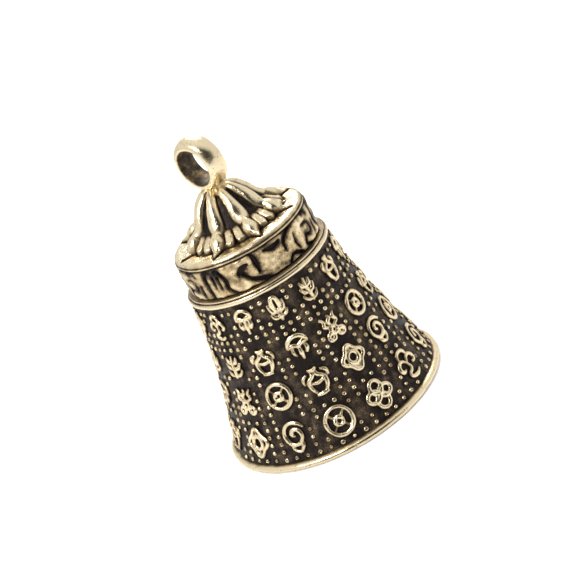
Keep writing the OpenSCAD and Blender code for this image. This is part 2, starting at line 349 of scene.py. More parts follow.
def turned(outline, steps):
    """A closed outline of (radius, height) points spun round the bell's axis."""
    bm = bmesh.new()
    verts = [bm.verts.new((r, 0, z)) for r, z in outline]
    edges = [bm.edges.new((verts[i - 1], verts[i])) for i in range(len(verts))]
    bmesh.ops.spin(
        bm, geom=verts + edges, cent=(0, 0, 0), axis=(0, 0, 1), angle=TURN, steps=steps, use_merge=True
    )
    bmesh.ops.recalc_face_normals(bm, faces=bm.faces)
    return bm


def unevenness(point, size, seed):
    """A smooth wander from -1 to 1 over the casting, with waves of a given size."""
    return noise.noise(point / size + Vector((seed * 3.7, seed * 1.3, 0)))


def roughen(bm, depth, size, seed, keep=None):
    """Moves a surface in and out a little, as hand-finished castings are."""
    bm.normal_update()
    for v in bm.verts:
        if keep is None or not keep(v.co):
            v.co += v.normal * depth * unevenness(v.co, size, seed)


def mark_relief(bm, height):
    """Stores how rubbed each point is, from 0 in a hollow to 1 on a high spot, with painted shade and painted
    sheen in places.
    """
    layer = bm.verts.layers.float.get("relief") or bm.verts.layers.float.new("relief")
    for v in bm.verts:
        v[layer] = height(v.co)


def evaluated_mesh(thing):
    """The mesh that an object has with its modifiers on."""
    bpy.context.view_layer.update()
    graph = bpy.context.evaluated_depsgraph_get()
    return bpy.data.meshes.new_from_object(thing.evaluated_get(graph))


def remeshed(mesh, voxel):
    """The closed shells of a mesh joined in one skin of small faces."""
    solid = bpy.data.objects.new("solid", mesh)
    bpy.context.scene.collection.objects.link(solid)
    remesh = solid.modifiers.new("Remesh", "REMESH")
    remesh.mode = "VOXEL"
    remesh.voxel_size = voxel
    fused = evaluated_mesh(solid)
    bpy.data.objects.remove(solid)
    return fused


def soften(bm):
    """Evens out the steps that a remesh leaves."""
    bmesh.ops.smooth_vert(
        bm, verts=bm.verts, factor=0.5, use_axis_x=True, use_axis_y=True, use_axis_z=True
    )


def make_piece(bm, name, material, stands_for=(), sharp=50, body="bell"):
    """Finishes a mesh in metres, gives it its brass and lets it ride with a body."""
    bmesh.ops.scale(bm, vec=(MM, MM, MM), verts=bm.verts)
    mesh = bpy.data.meshes.new(name)
    bm.to_mesh(mesh)
    bm.free()
    mesh.shade_smooth()
    mesh.set_sharp_from_angle(angle=math.radians(sharp))
    piece = bpy.data.objects.new(name, mesh)
    bpy.context.scene.collection.objects.link(piece)
    mesh.materials.append(material)
    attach(piece, body)
    if stands_for:
        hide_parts(*stands_for)
    return piece


def settings():
    scene = bpy.context.scene
    return scene.bell_sizes, scene.bell_finish


# ---- the skirt ----


def ground_radius(z, sizes):
    """Radius of the skirt's smooth ground at a height."""
    top = BEAD_LOW.z
    share = 1 - min(z, top) / top
    return sizes.neck_radius + (LIP_HIGH.x - sizes.lip_out - sizes.neck_radius) * share**sizes.flare


def on_skirt(turn, centre_z, point, sizes):
    """Wraps a flat point, with x across, y up and z out, round the skirt at a turn and height."""
    lean = math.atan((ground_radius(centre_z - 0.2, sizes) - ground_radius(centre_z + 0.2, sizes)) / 0.4)
    z = centre_z + point.y * math.cos(lean)
    radius = ground_radius(z, sizes)
    angle = turn + point.x / ground_radius(centre_z, sizes)
    out = radius + point.z * math.cos(lean)
    return Vector((out * math.cos(angle), out * math.sin(angle), z + point.z * math.sin(lean)))


class BELL_OT_skirt(bpy.types.Operator):
    """Cast the flared skirt with its shoulder and roof"""

    bl_idname = "bell.skirt"
    bl_label = "Skirt"

    def execute(self, context):
        sizes, finish = settings()
        runs = 40
        top = BEAD_LOW.z
        heights = [top * i / runs for i in range(runs + 1)]
        outside = [(ground_radius(z, sizes), z) for z in heights]
        inside = [(r - sizes.wall, z) for r, z in outside if z < top - 1]
        drum = PLATE_LOW.z
        drum_radius = sizes.neck_radius - DRUM_INSET
        pin_hole = 0.75
        roof = drum - ROOF
        corner = 0.8
        room = drum_radius - sizes.wall - corner
        outline = outside + [(drum_radius, top), (drum_radius, drum), (pin_hole, drum), (pin_hole, roof)]
        outline += arc(room, roof - corner, corner, 90, 0) + inside[::-1]
        bm = turned(outline, 160)
        roughen(bm, 0.05, 1.1, sizes.seed, lambda p: p.z < 0.01 or p.xy.length < 2)
        mark_relief(bm, lambda p: 0.3 if p.xy.length < ground_radius(p.z, sizes) - 0.3 else self.wear(p))
        ground = aged_brass("skirt_ground", finish, rub=-0.05, grain_depth=0.12, dirt=0.5)
        make_piece(bm, "skirt_casting", ground, ["bell_skirt"])
        return {"FINISHED"}

    def wear(self, point):
        """The ground is painted lighter between the columns of emblems, a painted sheen, and black in them.
        """
        turn = math.atan2(point.y, point.x) - column_turn(0)
        between_columns = 0.5 - 0.5 * math.cos(turn * len(COLUMNS))
        # Painted sheen: the lighter ground between the columns stands in for highlights there.
        return 0.11 + 0.13 * smooth(between_columns, 0.3, 0.9)


class BELL_OT_rims(bpy.types.Operator):
    """Turn the lip round the mouth and the bead round the neck"""

    bl_idname = "bell.rims"
    bl_label = "Lip and neck bead"

    def execute(self, context):
        sizes, finish = settings()
        rim = aged_brass("rubbed_rim", finish, rub=0.1, grain_depth=0.02, dirt=0.28)
        self.lip(sizes, rim)
        self.bead(sizes, rim)
        return {"FINISHED"}

    def lip(self, sizes, rim):
        top = LIP_HIGH.z
        edge = 0.42
        inner = [(ground_radius(z, sizes) - 0.05, z) for z in (top, top / 2, 0)]
        outline = inner + [(LIP_HIGH.x - edge, 0)]
        outline += arc(LIP_HIGH.x - edge, edge, edge, -75, 62, 10)
        outline += [(ground_radius(top, sizes) + 0.12, top)]
        bm = turned(outline, 240)
        roughen(bm, 0.06, 1.6, sizes.seed, lambda p: p.z < 0.02)
        wear = ((0, 0.45), (0.25, 0.85), (0.6, 1.0), (top - 0.1, 0.8), (top, 0.1))
        mark_relief(bm, lambda p: flow(p.z, wear))
        make_piece(bm, "rounded_lip", rim, ["mouth_lip"])

    def bead(self, sizes, rim):
        """A round bead with a thinner one over it."""
        low, high = BEAD_LOW.z, BEAD_HIGH.z
        core = sizes.neck_radius - DRUM_INSET
        round_r = 0.36
        thin_r = 0.15
        outer = BEAD_HIGH.x - round_r
        thin = outer - 0.12
        outline = [(core, low)] + arc(outer, low + round_r, round_r, -90, 80, 10)
        outline += arc(thin, high - thin_r, thin_r, -60, 90, 6) + [(core, high)]
        bm = turned(outline, 240)
        roughen(bm, 0.05, 1.3, sizes.seed + 1)
        groove = low + 2 * round_r

        def wear(p):
            dark = 0.9 * hump(p.z, groove, 0.09), 0.7 * hump(p.z, high, 0.08), 0.8 * hump(p.z, low, 0.08)
            return max(0.0, 1 - dark[0] - dark[1] - dark[2])

        mark_relief(bm, wear)
        make_piece(bm, "neck_moulding", rim, ["neck_bead"])


# ---- ornament of the skirt ----


def line(*points):
    return (points, False)


def loop(*points):
    return (points, True)


def round_loop(cx, cy, radius, count=8):
    angles = (TURN * i / count for i in range(count))
    return loop(*((cx + radius * math.cos(a), cy + radius * math.sin(a)) for a in angles))


def both(stroke):
    """A stroke and its mirror image."""
    points, closed = stroke
    return [stroke, (tuple((-x, y) for x, y in points), closed)]


BUD = [
    loop((0, 1), (-0.36, 0.45), (0, -0.1), (0.36, 0.45)),
    *both(line((0.1, -0.3), (0.6, -0.05), (0.88, 0.6))),
    *both(line((0, -0.6), (0.55, -0.6), (0.95, -0.2))),
    line((0, -0.1), (0, -0.6), (0, -1)),
]
KNOT = [
    loop((0, 1), (-0.45, 0.5), (0, 0), (0.45, 0.5)),
    loop((0, 0), (-0.45, -0.5), (0, -1), (0.45, -0.5)),
    *both(loop((0, 0), (0.5, 0.38), (0.98, 0), (0.5, -0.38))),
]
CLOUD = [
    *both(line((0, 0.05), (0.4, 0.4), (0.85, 0.25), (0.85, -0.2), (0.45, -0.2))),
    line((-0.5, 0.4), (-0.4, 0.85), (0, 1), (0.4, 0.85), (0.5, 0.4)),
    line((0, 0.05), (0.05, -0.4), (-0.45, -0.7), (0.1, -1), (0.7, -0.85)),
]
JEWEL = [
    round_loop(0, -0.3, 0.28),
    *both(round_loop(0.5, -0.72, 0.26)),
    *both(line((0.3, 0.05), (0.65, 0.25), (0.5, 0.6), (0.8, 1))),
    line((0, 0.1), (-0.14, 0.45), (0.12, 0.7), (0, 1)),
]
PARASOL = [
    line((-0.95, 0.2), (-0.7, 0.72), (0, 1), (0.7, 0.72), (0.95, 0.2)),
    line((-0.95, 0.2), (-0.5, 0.38), (0, 0.2), (0.5, 0.38), (0.95, 0.2)),
    line((0, 0.2), (0, -0.4), (0, -1)),
    *both(line((0.5, 0.3), (0.6, -0.2), (0.4, -0.6))),
]
VASE = [
    line((-0.4, 1), (0, 0.88), (0.4, 1)),
    *both(line((0.2, 0.88), (0.2, 0.5), (0.62, 0.15), (0.6, -0.45), (0.3, -0.95))),
    line((-0.5, -1), (0, -1), (0.5, -1)),
    line((-0.6, 0), (0, -0.15), (0.6, 0)),
    *both(line((0.55, 0.75), (0.95, 0.5), (0.98, 0))),
]
WHEEL = [
    round_loop(0, 0, 0.96, 10),
    round_loop(0, 0, 0.28),
    *both(line((0.2, 0.2), (0.66, 0.66))),
    *both(line((0.2, -0.2), (0.66, -0.66))),
]
SPRIG = [
    line((0.1, 1), (-0.05, 0.3), (0.05, -0.4), (0, -1)),
    *both(line((0, 0.25), (0.4, 0.4), (0.62, 0.85))),
    *both(line((0, -0.25), (0.5, -0.1), (0.9, 0.35))),
    *both(line((0, -0.8), (0.5, -0.7), (0.92, -0.25))),
]
SHELL = [
    line((0.1, 0.1), (-0.15, 0.3), (0.1, 0.6), (0.5, 0.35), (0.45, -0.2), (-0.1, -0.45), (-0.6, -0.1),
         (-0.7, 0.5), (-0.3, 1), (0.4, 1), (0.9, 0.6)),
    line((-0.45, -0.35), (-0.3, -0.75), (0.1, -1)),
    line((0.45, -0.2), (0.4, -0.6), (0.1, -1)),
]
LATTICE = [
    loop((0, 1), (-0.5, 0.5), (-0.95, 0), (-0.5, -0.5), (0, -1), (0.5, -0.5), (0.95, 0), (0.5, 0.5)),
    loop((0, 0.45), (-0.42, 0), (0, -0.45), (0.42, 0)),
    line((0, 0.45), (0, 1)),
    line((0, -0.45), (0, -1)),
]
EMBLEMS = [BUD, WHEEL, SPRIG, KNOT, VASE, CLOUD, LATTICE, PARASOL, SHELL, JEWEL]
ROWS = (
    {"z": 3.8, "width": 4.2, "height": 4.4},
    {"z": 9.2, "width": 3.9, "height": 4.0},
    {"z": 13.75, "width": 3.6, "height": 3.8},
    {"z": 19.2, "width": 2.9, "height": 3.9},
)
FIRST_COLUMN = -0.3


def column_turn(index):
    return math.radians(FIRST_COLUMN + 360 / len(COLUMNS) * index)


def emblem_at(column, row):
    return EMBLEMS[(column * 2 + row * 3 + column // 3) % len(EMBLEMS)]


def emblem_cell(row, sizes):
    """Half width and half height of the middle of the strokes in a row's emblems."""
    return (ROWS[row]["width"] - sizes.stroke) / 2, (ROWS[row]["height"] - sizes.stroke) / 2


def stroke_mesh(emblem, row, sizes, rng):
    """The emblem's strokes as smooth rods on a flat ground, joined by a fine remesh."""
    half_width, half_height = emblem_cell(row, sizes)
    curve = bpy.data.curves.new("strokes", "CURVE")
    curve.dimensions = "3D"
    curve.bevel_depth = sizes.stroke / 2
    curve.bevel_resolution = 2
    curve.resolution_u = 5
    curve.use_fill_caps = True
    for points, closed in emblem:
        spline = curve.splines.new("BEZIER")
        spline.bezier_points.add(len(points) - 1)
        spline.use_cyclic_u = closed
        for i, (knot, (x, y)) in enumerate(zip(spline.bezier_points, points)):
            at_end = not closed and i in (0, len(points) - 1)
            knot.co = (x * half_width, y * half_height, 0)
            knot.handle_left_type = knot.handle_right_type = "AUTO"
            knot.radius = rng.uniform(0.62, 0.86) if at_end else rng.uniform(0.9, 1.16)
    rods = bpy.data.objects.new("strokes", curve)
    bpy.context.scene.collection.objects.link(rods)
    fused = remeshed(evaluated_mesh(rods), 0.085)
    bpy.data.objects.remove(rods)
    return fused


class BELL_OT_emblems(bpy.types.Operator):
    """Raise the columns of emblems on the skirt"""

    bl_idname = "bell.emblems"
    bl_label = "Emblems"

    def execute(self, context):
        sizes, finish = settings()
        brass = aged_brass("rubbed_and_shaded_strokes", finish, rub=0.06, grain_depth=0.035, dirt=0.4)
        for column, node in enumerate(COLUMNS):
            rng = random.Random(sizes.seed * 100 + column)
            bm = bmesh.new()
            bm.verts.layers.float.new("relief")
            for row in range(len(ROWS)):
                self.raise_emblem(bm, column, row, sizes, rng)
            name = "ornament_" + node.rsplit("_", 1)[1]
            make_piece(bm, name, brass, [node], sharp=80)
        return {"FINISHED"}

    def raise_emblem(self, bm, column, row, sizes, rng):
        part = bmesh.new()
        mesh = stroke_mesh(emblem_at(column, row), row, sizes, rng)
        part.from_mesh(mesh)
        bpy.data.meshes.remove(mesh)
        soften(part)
        rise = sizes.relief / (sizes.stroke / 2)
        bmesh.ops.scale(part, vec=(1, 1, rise), verts=part.verts)
        cut = bmesh.ops.bisect_plane(
            part, geom=part.verts[:] + part.edges[:] + part.faces[:], dist=1e-4,
            plane_co=(0, 0, -0.06), plane_no=(0, 0, 1), clear_inner=True,
        )
        rim = [e for e in cut["geom_cut"] if isinstance(e, bmesh.types.BMEdge)]
        bmesh.ops.triangle_fill(part, use_beauty=True, edges=rim)
        part_layer = part.verts.layers.float.new("relief")
        for v in part.verts:
            # Bright on the stroke's top, darker down its sides and base: partly patina, partly painted shade.
            v[part_layer] = smooth(v.co.z / sizes.relief, 0.25, 1.0)
            v.co = on_skirt(column_turn(column), ROWS[row]["z"], v.co, sizes)
        bmesh.ops.recalc_face_normals(part, faces=part.faces)
        holder = bpy.data.meshes.new("emblem")
        part.to_mesh(holder)
        part.free()
        bm.from_mesh(holder)
        bpy.data.meshes.remove(holder)


def stroke_samples(emblem, row, sizes):
    """Points along the straight runs of an emblem's strokes, in flat millimetres."""
    half_width, half_height = emblem_cell(row, sizes)
    for points, closed in emblem:
        ends = list(zip(points, points[1:])) + ([(points[-1], points[0])] if closed else [])
        for (ax, ay), (bx, by) in ends:
            for i in range(5):
                yield lerp(ax, bx, i / 4) * half_width, lerp(ay, by, i / 4) * half_height


class BELL_OT_studs(bpy.types.Operator):
    """Set the even lanes of small studs round the emblems"""

    bl_idname = "bell.studs"
    bl_label = "Studs"

    def execute(self, context):
        sizes, finish = settings()
        rng = random.Random(sizes.seed)
        templates = [self.template(dimple) for dimple in (False, True)]
        bm = bmesh.new()
        layer = bm.verts.layers.float.new("relief")
        for column in range(len(COLUMNS)):
            for turn, z in self.places(column, sizes):
                dimpled = z < 8 and rng.random() < 0.6
                self.stud(bm, layer, templates[dimpled], column_turn(column) + turn, z, sizes, rng)
        for template in templates:
            bpy.data.meshes.remove(template)
        brass = aged_brass("rubbed_studs", finish, rub=0.03, grain_depth=0.015, dirt=0.3)
        make_piece(bm, "stud_field", brass, ["studs"], sharp=80)
        return {"FINISHED"}

    def template(self, dimple):
        """A round stud of radius 1, or one whose top has sunk in the casting."""
        dome = bmesh.new()
        bmesh.ops.create_uvsphere(dome, u_segments=9, v_segments=6, radius=1)
        layer = dome.verts.layers.float.new("relief")
        for v in dome.verts:
            v[layer] = smooth(v.co.z, 0.1, 0.8)
            if dimple and v.co.z > 0.95:
                v.co.z = 0.35
                v[layer] = 0
        mesh = bpy.data.meshes.new("stud")
        dome.to_mesh(mesh)
        dome.free()
        return mesh

    def places(self, column, sizes):
        """The turn and height of each stud in a column, clear of the column's emblems."""
        quarter = TURN / len(COLUMNS) / 4
        taken = [
            (x, y + ROWS[row]["z"])
            for row in range(len(ROWS))
            for x, y in stroke_samples(emblem_at(column, row), row, sizes)
        ]
        clear = (sizes.stroke + sizes.stud) / 2 + 0.06
        low, high = LIP_HIGH.z + 0.45, BEAD_LOW.z - 0.35
        for lane in (-1.5, -0.5, 0.5, 1.5):
            for k in range(int((high - low) / sizes.stud_pitch) + 1):
                z = low + k * sizes.stud_pitch
                across = lane * quarter * ground_radius(z, sizes)
                if all(math.hypot(x - across, y - z) > clear for x, y in taken):
                    yield lane * quarter, z

    def stud(self, bm, layer, template, turn, z, sizes, rng):
        first = len(bm.verts)
        bm.from_mesh(template)
        bm.verts.ensure_lookup_table()
        across = sizes.stud / 2 * rng.uniform(0.85, 1.12)
        rise = 0.29 * rng.uniform(0.75, 1.2)
        rub = rng.uniform(0.65, 1.0)
        shift = Vector((rng.uniform(-0.05, 0.05), rng.uniform(-0.05, 0.05), 0))
        for v in bm.verts[first:]:
            flat = Vector((v.co.x * across, v.co.y * across, v.co.z * rise)) + shift
            v.co = on_skirt(turn, z, flat, sizes)
            v[layer] *= rub


# ---- frieze ----

FRIEZE_CELLS = 12
FRIEZE_TURN = 18.5
# Channels carved into a cell of the band, which runs from -1 to 1 across and from 0 to 1 up.
# Each is a smooth run of points, with half its width there.
LEAF = [
    ((-0.62, 0.06, 0.12), (-0.74, 0.5, 0.24), (-0.56, 0.92, 0.26), (-0.1, 0.84, 0.2), (0.22, 0.88, 0.22),
     (0.46, 0.55, 0.24), (0.44, 0.25, 0.24), (0.84, 0.0, 0.16)),
    ((-0.22, 0.74, 0.1), (-0.24, 0.3, 0.08)),
    ((0.1, 0.7, 0.12), (0.06, 0.28, 0.08)),
]
HOOK = [
    ((-0.66, 0.58, 0.3), (-0.4, 0.7, 0.34), (-0.08, 0.74, 0.14)),
    ((-0.52, 0.56, 0.26), (-0.3, 0.34, 0.2), (0.1, 0.2, 0.24), (0.5, 0.1, 0.28), (0.86, 0.0, 0.2)),
    ((0.3, 0.98, 0.2), (0.36, 0.66, 0.26), (0.34, 0.34, 0.16)),
]
DRAPE = [
    ((-1.0, 0.86, 0.14), (-0.5, 0.78, 0.32), (-0.05, 0.84, 0.26)),
    ((0.1, 0.5, 0.1), (0.2, 0.76, 0.26), (0.6, 0.92, 0.3), (0.95, 1.0, 0.12)),
    ((0.05, 0.08, 0.18), (0.4, 0.22, 0.16), (1.0, 0.06, 0.22)),
    ((0.92, 0.72, 0.1), (0.86, 0.46, 0.14), (0.95, 0.2, 0.1)),
]
EDDY = [
    ((0.1, 0.94, 0.22), (0.4, 0.98, 0.2), (0.7, 0.8, 0.1)),
    ((-0.35, 0.7, 0.1), (0.2, 0.66, 0.14), (0.4, 0.42, 0.16), (0.1, 0.3, 0.14), (-0.3, 0.36, 0.16),
     (-0.5, 0.14, 0.2), (-0.1, 0.02, 0.18)),
    ((0.75, 0.5, 0.12), (0.7, 0.16, 0.2)),
]
FRIEZE = [DRAPE, EDDY, LEAF, HOOK]


def channel_spots(points, cell_width, height):
    """Spots along a channel, in millimetres, each with half the channel's width."""
    knots = [Vector((x * cell_width / 2, y * height, width)) for x, y, width in points]
    knots = [2 * knots[0] - knots[1]] + knots + [2 * knots[-1] - knots[-2]]
    steps = 9
    for a, b, c, d in zip(knots, knots[1:], knots[2:], knots[3:]):
        for i in range(steps):
            t = i / steps
            yield 0.5 * (
                2 * b + (c - a) * t + (2 * a - 5 * b + 4 * c - d) * t**2 + (3 * b - a - 3 * c + d) * t**3
            )


class BELL_OT_frieze(bpy.types.Operator):
    """Carve the band of scrolls round the neck"""

    bl_idname = "bell.frieze"
    bl_label = "Frieze"

    def execute(self, context):
        sizes, finish = settings()
        low, high = BEAD_HIGH.z, PLATE_LOW.z
        core = sizes.neck_radius - DRUM_INSET
        face = 9.05
        depth = 0.45
        runs = 44
        outline = [(core, low)]
        outline += [(face, lerp(low, high, i / runs)) for i in range(runs + 1)]
        outline += [(core, high)]
        bm = turned(outline, 720)
        layer = bm.verts.layers.float.new("relief")
        self.cell_width = TURN * face / FRIEZE_CELLS
        self.spots = [
            [spot for points in design for spot in channel_spots(points, self.cell_width, high - low)]
            for design in FRIEZE
        ]
        for v in bm.verts:
            if v.co.xy.length < face - 0.1:
                continue
            angle = math.atan2(v.co.y, v.co.x) % TURN
            away = self.away_from_channels(angle, v.co.z - low)
            cut = 1 - smooth(away, -0.12, 0.12)
            wander = 0.16 * unevenness(v.co, 0.9, 3)
            # The top and bottom edges are sunk and darkened: partly patina in the recess, partly painted
            # shade under the plate and over the bead.
            off_edges = smooth(v.co.z - low, 0.05, 0.32 + wander) * smooth(high - v.co.z, 0.02, 0.24 - wander)
            crease = 1 - off_edges
            swell = 0.12 * unevenness(v.co, 1.4, sizes.seed) + 0.05 * unevenness(v.co, 0.55, sizes.seed)
            out = face + swell - depth * max(cut, 0.6 * crease)
            v.co.x, v.co.y = out * math.cos(angle), out * math.sin(angle)
            # The field darkens towards the channels' edges, partly patina and partly painted shade. It is
            # lighter where it swells out.
            rub = 0.4 + 0.28 * smooth(away, 0.0, 0.5) + swell * 2.4
            v[layer] = rub * (1 - 0.95 * max(cut, crease))
        brass = aged_brass("frieze_brass", finish, rub=-0.04, grain_depth=0.05, dirt=0.62)
        make_piece(bm, "frieze", brass, ["frieze_band", "frieze_scrolls"], sharp=80)
        return {"FINISHED"}

    def away_from_channels(self, angle, up):
        """Distance from the edge of the nearest channel, below 0 inside it."""
        place = (angle - math.radians(FRIEZE_TURN)) / (TURN / FRIEZE_CELLS)
        nearest = 9.0  # more than any real distance
        for cell in (math.floor(place + 0.5) + step for step in (-1, 0, 1)):
            x = (place - cell) * self.cell_width
            if abs(x) > self.cell_width * 0.75:
                continue
            for spot in self.spots[cell % len(FRIEZE)]:
                nearest = min(nearest, math.hypot(x - spot.x, up - spot.y) - spot.z)
        return nearest


# ---- crown: plate, lotus and ring ----

PETAL_TURN = 23.5
# How far the foot reaches, by the share of the way from a petal's middle to the groove beside it
FOOT = ((0, 0.0), (0.08, -0.5), (0.16, -1.05), (0.25, -1.55), (0.35, -1.8), (0.5, -1.78),
        (0.65, -1.6), (0.8, -1.6), (0.9, -1.9), (0.96, -2.5), (1.0, -3.2))
# Heights of a petal's crest over the plate, by radius: a rib, a knee and the pad of the foot
CREST = ((0.3, 6.4), (1.6, 5.85), (2.4, 5.45), (3.0, 4.98), (3.6, 4.35), (4.1, 3.65), (4.5, 2.9),
         (4.85, 2.35), (5.2, 2.05), (5.7, 1.85), (6.2, 1.55), (6.6, 1.2), (6.9, 0.75), (7.15, 0.48),
         (8.2, 0.18))
# Half widths of the crest, by radius
RIB = ((0.3, 0.3), (1.6, 0.58), (2.4, 0.72), (3.2, 0.88), (4.0, 1.1), (4.4, 1.12), (4.8, 0.9),
       (5.15, 0.72), (5.6, 0.94), (6.1, 1.04), (6.5, 0.95), (6.8, 0.66), (7.0, 0.34), (7.6, 0.2), (8.2, 0.08))
# Heights of the floor of the grooves between the crests, by radius
GROOVE = ((0.3, 5.9), (2.0, 4.7), (3.0, 3.5), (4.0, 2.1), (4.6, 1.35), (5.2, 0.8), (5.8, 0.4),
          (6.4, 0.2), (8.2, 0.1))
# Heights of the sole of the foot, by radius
SOLE = ((4.4, 1.45), (4.9, 1.4), (5.4, 1.1), (6.0, 0.68), (6.5, 0.38), (7.2, 0.28), (8.2, 0.12))


def foot_reach(share, sizes):
    return sizes.petal_reach + flow(abs(share), FOOT)


def beyond_foot(point, sizes):
    """Distance of a point on the plate from the outline of the feet, below 0 under them."""
    share = petal_share(math.atan2(point.y, point.x))
    radius = point.xy.length
    step = 0.02
    rise = foot_reach(abs(share) + step, sizes) - foot_reach(abs(share), sizes)
    run = step * math.pi / len(PETALS) * radius
    return (radius - foot_reach(share, sizes)) / math.hypot(1, rise / run)


def petal_height(radius, share):
    """Height over the plate at a radius and a share of the way to the groove, and how rubbed it is, with
    painted shade in a wedge beside the pad of the foot.
    """
    share = abs(share)
    across = share * math.radians(180 / len(PETALS)) * radius
    body = math.sqrt(max(0.0, 1 - (across / flow(radius, RIB)) ** 2))
    floor = flow(radius, GROOVE)
    height = max(0.05, lerp(floor, flow(radius, CREST), body))
    rub = smooth(body, 0.2, 0.75)
    if radius > SOLE[0][0]:
        toe = smooth(radius, 6.1, 6.7)
        border = 1 - smooth(share, 0.9, 1.0)
        # Painted shade: a dark wedge beside the pad, which also dips the sole a little.
        shaded_wedge = hump(share, 0.43, 0.07) * (1 - toe)
        strip = 0.13 * hump(share, 0.7, 0.26)
        sole = (flow(radius, SOLE) + strip) * border * (1 - 0.25 * shaded_wedge)
        if sole > height:
            height = sole
            # Rubbed bright on the raised strips, with the wedge's painted shade.
            rub = (0.7 + 2 * strip) * border * (1 - 0.9 * shaded_wedge) * smooth(radius, 4.5, 5.5)
    return height, rub


class BELL_OT_crown(bpy.types.Operator):
    """Turn the crown plate and carve the outline of the petals' feet"""

    bl_idname = "bell.crown"
    bl_label = "Crown plate"

    def execute(self, context):
        sizes, finish = settings()
        low, high = PLATE_LOW.z, PLATE_HIGH.z
        bead = (high - low) * 0.2
        crease = low + 2 * bead
        shoulder = 0.8
        outer = PLATE_HIGH.x
        inner = 4.6
        runs = 44
        outline = [(inner, low)] + arc(outer - bead, low + bead, bead, -90, 60, 8)
        outline += [
            (outer - 0.1 - shoulder * (1 - math.cos(a)), crease + (high - crease) * math.sin(a))
            for a in (math.radians(9 * i) for i in range(11))
        ]
        outline += [(lerp(outer - 0.1 - shoulder, inner, i / runs), high) for i in range(1, runs + 1)]
        bm = turned(outline, 480)
        layer = bm.verts.layers.float.new("relief")
        for v in bm.verts:
            beyond = beyond_foot(v.co, sizes)
            on_top = v.co.z > high - 0.1
            groove = hump(beyond, 0.1, 0.15) if on_top else 0.0
            # Darker in the crease above the bead and at the plate's foot: partly patina, partly painted
            # shade.
            crease_tarnish_and_shade = 0.95 * hump(v.co.z, crease, 0.07) + 0.7 * hump(v.co.z, low, 0.08)
            # Painted reflection: the shoulder darkens towards the crease, and the bead below it is darker,
            # for a dark band reflected there.
            side = 0.45 * (1 - smooth(v.co.z, crease, high - 0.05)) if v.co.z > crease else 0.25
            under_petal = on_top and beyond < -0.1
            v[layer] = max(0.0, 0.95 - side - 1.4 * groove - crease_tarnish_and_shade) * (0.2 if under_petal else 1)
            v.co.z -= 0.16 * groove
        roughen(bm, 0.06, 1.5, sizes.seed + 2)
        brass = aged_brass("crown_brass", finish, rub=0.06, grain_depth=0.05, dirt=0.46)
        make_piece(bm, "crown_disc", brass, ["crown_plate"], sharp=80)
        return {"FINISHED"}


def petal_share(angle):
    """From -1 to 1 over each petal, 0 at its middle."""
    step = TURN / len(PETALS)
    place = (angle - math.radians(PETAL_TURN)) / step
    return (place - math.floor(place + 0.5)) * 2


class BELL_OT_lotus(bpy.types.Operator):
    """Sculpt the petals of the lotus"""

    bl_idname = "bell.lotus"
    bl_label = "Lotus petals"

    def execute(self, context):
        sizes, finish = settings()
        brass = aged_brass("lotus_brass", finish, rub=0.06, grain_depth=0.05, dirt=0.42)
        for index, node in enumerate(PETALS):
            stands_for = [node, "lotus_core"] if index == 0 else [node]
            bm = self.petal(index, sizes)
            make_piece(bm, f"lotus_{node}", brass, stands_for, sharp=80)
        return {"FINISHED"}

    def petal(self, index, sizes):
        bm = bmesh.new()
        bmesh.ops.create_grid(bm, x_segments=84, y_segments=64, size=1)
        layer = bm.verts.layers.float.new("relief")
        middle = math.radians(PETAL_TURN + 360 / len(PETALS) * index)
        start = 0.3
        for v in bm.verts:
            along, share = (v.co.x + 1) / 2, v.co.y
            radius = lerp(start, foot_reach(share, sizes), along)
            height, rub = petal_height(radius, share)
            edge = smooth(1 - along, 0.0, 0.02)
            angle = middle + share * math.pi / len(PETALS)
            height = lerp(0.03, height, edge**0.5)
            v[layer] = rub * lerp(0.25, 1, edge)
            v.co = (radius * math.cos(angle), radius * math.sin(angle), PLATE_HIGH.z + height)
            v.co.z += 0.07 * unevenness(v.co, 0.9, sizes.seed + index)
        floor = PLATE_HIGH.z - 0.12
        rim = [e for e in bm.edges if e.is_boundary]
        skirt = bmesh.ops.extrude_edge_only(bm, edges=rim)["geom"]
        low = [v for v in skirt if isinstance(v, bmesh.types.BMVert)]
        for v in low:
            v.co.z = floor
            v[layer] = 0
        base = [e for e in bm.edges if e.is_boundary]
        bmesh.ops.triangle_fill(bm, use_beauty=True, edges=base)
        bmesh.ops.recalc_face_normals(bm, faces=bm.faces)
        return bm


